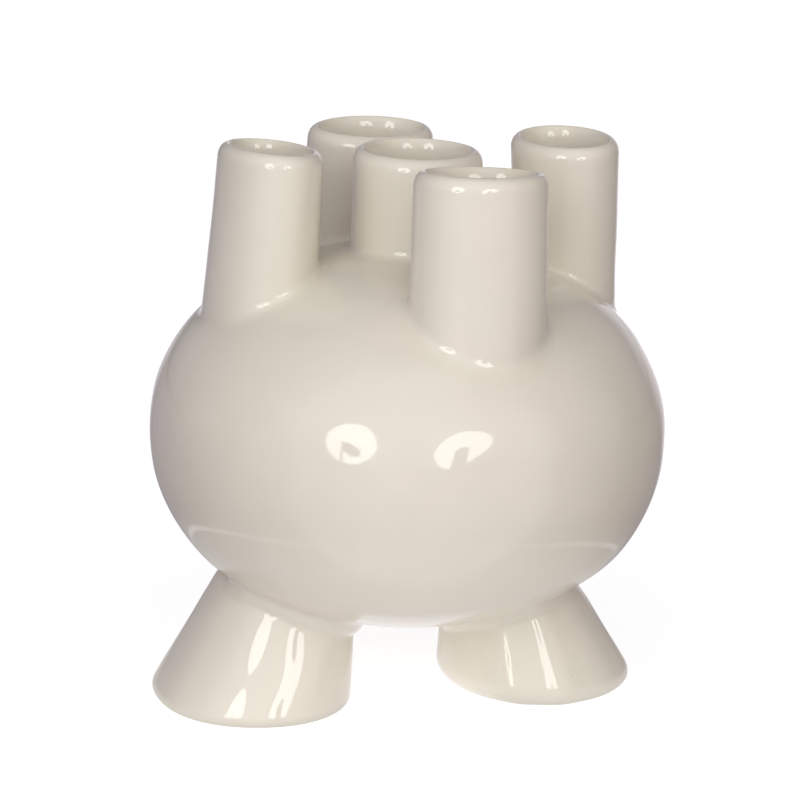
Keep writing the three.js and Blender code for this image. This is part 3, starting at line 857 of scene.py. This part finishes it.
def patch(g, pos, r0, r1, r2, r3, az, half):
    """1 on a ring of the floor, or on a sector of it."""
    length = g.new("ShaderNodeVectorMath", operation="LENGTH")
    g.put(length.inputs[0], pos)
    k = g.ramp(length.outputs["Value"], r2, r3, 1.0, 0.0)
    if r1 > 0:
        k = g.math("MULTIPLY", k, g.ramp(length.outputs["Value"], r0, r1))
    if az is not None:
        unit = g.new("ShaderNodeVectorMath", operation="NORMALIZE")
        g.put(unit.inputs[0], pos)
        k = g.math("MULTIPLY", k, lobe(g, unit.outputs[0], az, 0, half * 0.5, half * 1.5))
    return k


def make_world():
    world = bpy.data.worlds.new("studio")
    bpy.context.scene.world = world
    world.use_nodes = True
    g = Nodes(world.node_tree)
    vec = g.new("ShaderNodeTexCoord").outputs["Generated"]
    total = None
    for az, el, full, none, level in SKY + AROUND:
        c = scaled(g, level, lobe(g, vec, az, el, full, none))
        total = c if total is None else added(g, total, c)
    soft = g.new("ShaderNodeBackground")
    g.put(soft.inputs["Color"], total)
    pale = g.new("ShaderNodeBackground")
    pale.inputs["Color"].default_value = (1, 1, 1, 1)
    path = g.new("ShaderNodeLightPath")
    m = g.new("ShaderNodeMixShader")
    g.put(m.inputs[0], path.outputs["Is Camera Ray"])
    g.put(m.inputs[1], soft.outputs[0])
    g.put(m.inputs[2], pale.outputs[0])
    o = g.new("ShaderNodeOutputWorld")
    g.put(o.inputs["Surface"], m.outputs[0])


def make_floor():
    seg, radii = 96, (0.0, 0.2, 0.5, 1.2, 3.0, 7.0)
    a = np.arange(seg) / seg * TAU
    verts = [(0.0, 0.0, 0.0)]
    for r in radii[1:]:
        verts += [(r * 1000 * math.cos(t), r * 1000 * math.sin(t), 0.0) for t in a]
    faces = [(0, 1 + i, 1 + (i + 1) % seg) for i in range(seg)]
    for j in range(len(radii) - 2):
        p, q = 1 + j * seg, 1 + (j + 1) * seg
        faces += [(p + i, q + i, q + (i + 1) % seg, p + (i + 1) % seg) for i in range(seg)]
    floor = to_object("floor", verts, faces, sharp=None)
    floor.location.z = -0.00005
    mat = bpy.data.materials.new("pale_floor")
    mat.use_nodes = True
    g = Nodes(mat.node_tree)
    pos = g.new("ShaderNodeTexCoord").outputs["Object"]
    up = g.new("ShaderNodeVectorMath", operation="SUBTRACT")
    g.put(up.inputs[0], pos)
    up.inputs[1].default_value = (0, 0, 0.085)
    unit = g.new("ShaderNodeVectorMath", operation="NORMALIZE")
    g.put(unit.inputs[0], up.outputs[0])
    total = None
    for *place, level in AROUND:
        c = scaled(g, level, lobe(g, unit.outputs[0], *place))
        total = c if total is None else added(g, total, c)
    for *place, level in GROUND:
        total = added(g, total, scaled(g, level, patch(g, pos, *place)))
    # Under and behind the vase, a painted pool of the backdrop's light glows on the floor.
    behind = g.new("ShaderNodeVectorMath", operation="DOT_PRODUCT")
    g.put(behind.inputs[0], pos)
    behind.inputs[1].default_value = direction(161, 0)
    painted_back_glow = g.math("MULTIPLY", g.ramp(behind.outputs["Value"], -0.038, -0.018), patch(g, pos, 0.0, 0.0, 0.020, 0.050, None, 0))
    total = added(g, total, scaled(g, (0.38, 0.36, 0.38), painted_back_glow))
    glow = g.new("ShaderNodeEmission")
    g.put(glow.inputs["Color"], total)
    # The floor as the eye sees it: pale, with a soft shadow at the feet.
    lit = g.new("ShaderNodeBsdfDiffuse")
    lit.inputs["Color"].default_value = (0.45, 0.45, 0.45, 1)
    own = g.new("ShaderNodeEmission")
    own.inputs["Color"].default_value = (0.80, 0.80, 0.80, 1)
    seen = g.new("ShaderNodeAddShader")
    g.put(seen.inputs[0], lit.outputs[0])
    g.put(seen.inputs[1], own.outputs[0])
    path = g.new("ShaderNodeLightPath")
    m = g.new("ShaderNodeMixShader")
    g.put(m.inputs[0], path.outputs["Is Camera Ray"])
    g.put(m.inputs[1], glow.outputs[0])
    g.put(m.inputs[2], seen.outputs[0])
    o = g.new("ShaderNodeOutputMaterial")
    g.put(o.inputs["Surface"], m.outputs[0])
    floor.data.materials.append(mat)
    return floor


def aimed(ob, az, el, distance, tilt=0.0):
    """Put ob in the direction (az, el) from the vase, facing it, tilted in its own plane."""
    d = Vector(direction(az, el))
    ob.location = Vector((0, 0, 0.10)) + d * distance
    ob.rotation_euler = ((-d).to_track_quat("-Z", "Y") @ Quaternion((0, 0, 1), tilt * DEG)).to_euler()
    ob.visible_camera = False


def umbrella(name, az, el, wide, high, tilt, radiance, shine):
    """Round studio lamp: a pale elliptical light, and nearer by a hand the one that its reflection shows."""
    for part, level, far in (("", radiance, 2.0), ("_shine", shine, 1.9)):
        data = bpy.data.lights.new(name + part, "AREA")
        data.shape = "ELLIPSE"
        data.size, data.size_y = wide * far / 2.0, high * far / 2.0
        data.energy = math.pi * (math.pi * data.size * data.size_y / 4) * level
        ob = bpy.data.objects.new(name + part, data)
        bpy.context.scene.collection.objects.link(ob)
        aimed(ob, az, el, far, tilt)
        ob.visible_glossy = part == "_shine"
        ob.visible_diffuse = part != "_shine"


def lamp_head(name, outline, az, el):
    """The lamp in front of an umbrella, an outline in metres; only its reflection shows."""
    n = len(outline)
    verts = [(x * 1000, y * 1000, z) for z in (-30.0, 30.0) for x, y in outline]
    faces = [tuple(range(n))[::-1], tuple(range(n, 2 * n))] + [(i, (i + 1) % n, n + (i + 1) % n, n + i) for i in range(n)]
    ob = to_object(name, verts, faces, sharp=30)
    mat = bpy.data.materials.new(name)
    mat.use_nodes = True
    g = Nodes(mat.node_tree)
    e = g.new("ShaderNodeEmission")
    e.inputs["Color"].default_value = (0.45, 0.44, 0.43, 1)
    o = g.new("ShaderNodeOutputMaterial")
    g.put(o.inputs["Surface"], e.outputs[0])
    ob.data.materials.append(mat)
    aimed(ob, az, el, 1.8)


# ------------------------------------------------------------------ put together

GLAZE = glaze_material()
pieces = [body_mesh()]
names = ["body_shell"]
for name in SPOUTS:
    pieces.append(spout_mesh(name))
    names.append(name)
for name in FEET:
    pieces.append(foot_mesh(name))
    names.append(name)

# The finished vase's extent, which is printed.
lo = np.array([min(v.co[k] for ob in pieces for v in ob.data.vertices) for k in range(3)])
hi = np.array([max(v.co[k] for ob in pieces for v in ob.data.vertices) for k in range(3)])
for ob, node in zip(pieces, names):
    ob.data.materials.append(GLAZE)
    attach(ob, "root")
    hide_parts(node)
print("visual box", [round(float(v) * 1000, 2) for v in lo], [round(float(v) * 1000, 2) for v in hi])
for ob in pieces:
    print(ob.name, len(ob.data.vertices), sum(len(p.vertices) - 2 for p in ob.data.polygons))

make_world()
make_floor()
umbrella("soft_left", -43, 13.5, 0.76, 1.00, 0, 1.9, 5.8)
umbrella("soft_right", 5.7, 10.9, 0.94, 0.66, 43, 1.4, 5.2)
lamp_head("lamp_left", [(-0.12, -0.44), (-0.09, -0.44), (-0.09, -0.06), (0.02, -0.15), (0.13, -0.11), (0.13, 0.02), (0.01, 0.11), (-0.11, 0.12)], -43, 8.6)
lamp_head("lamp_right", [(-0.14, -0.36), (0.03, -0.36), (0.04, -0.22), (0.09, -0.18), (0.09, 0.14), (0.01, 0.17), (-0.08, 0.12), (-0.10, -0.10)], 4.8, 6.3)

bpy.context.scene.view_settings.view_transform = "Standard"
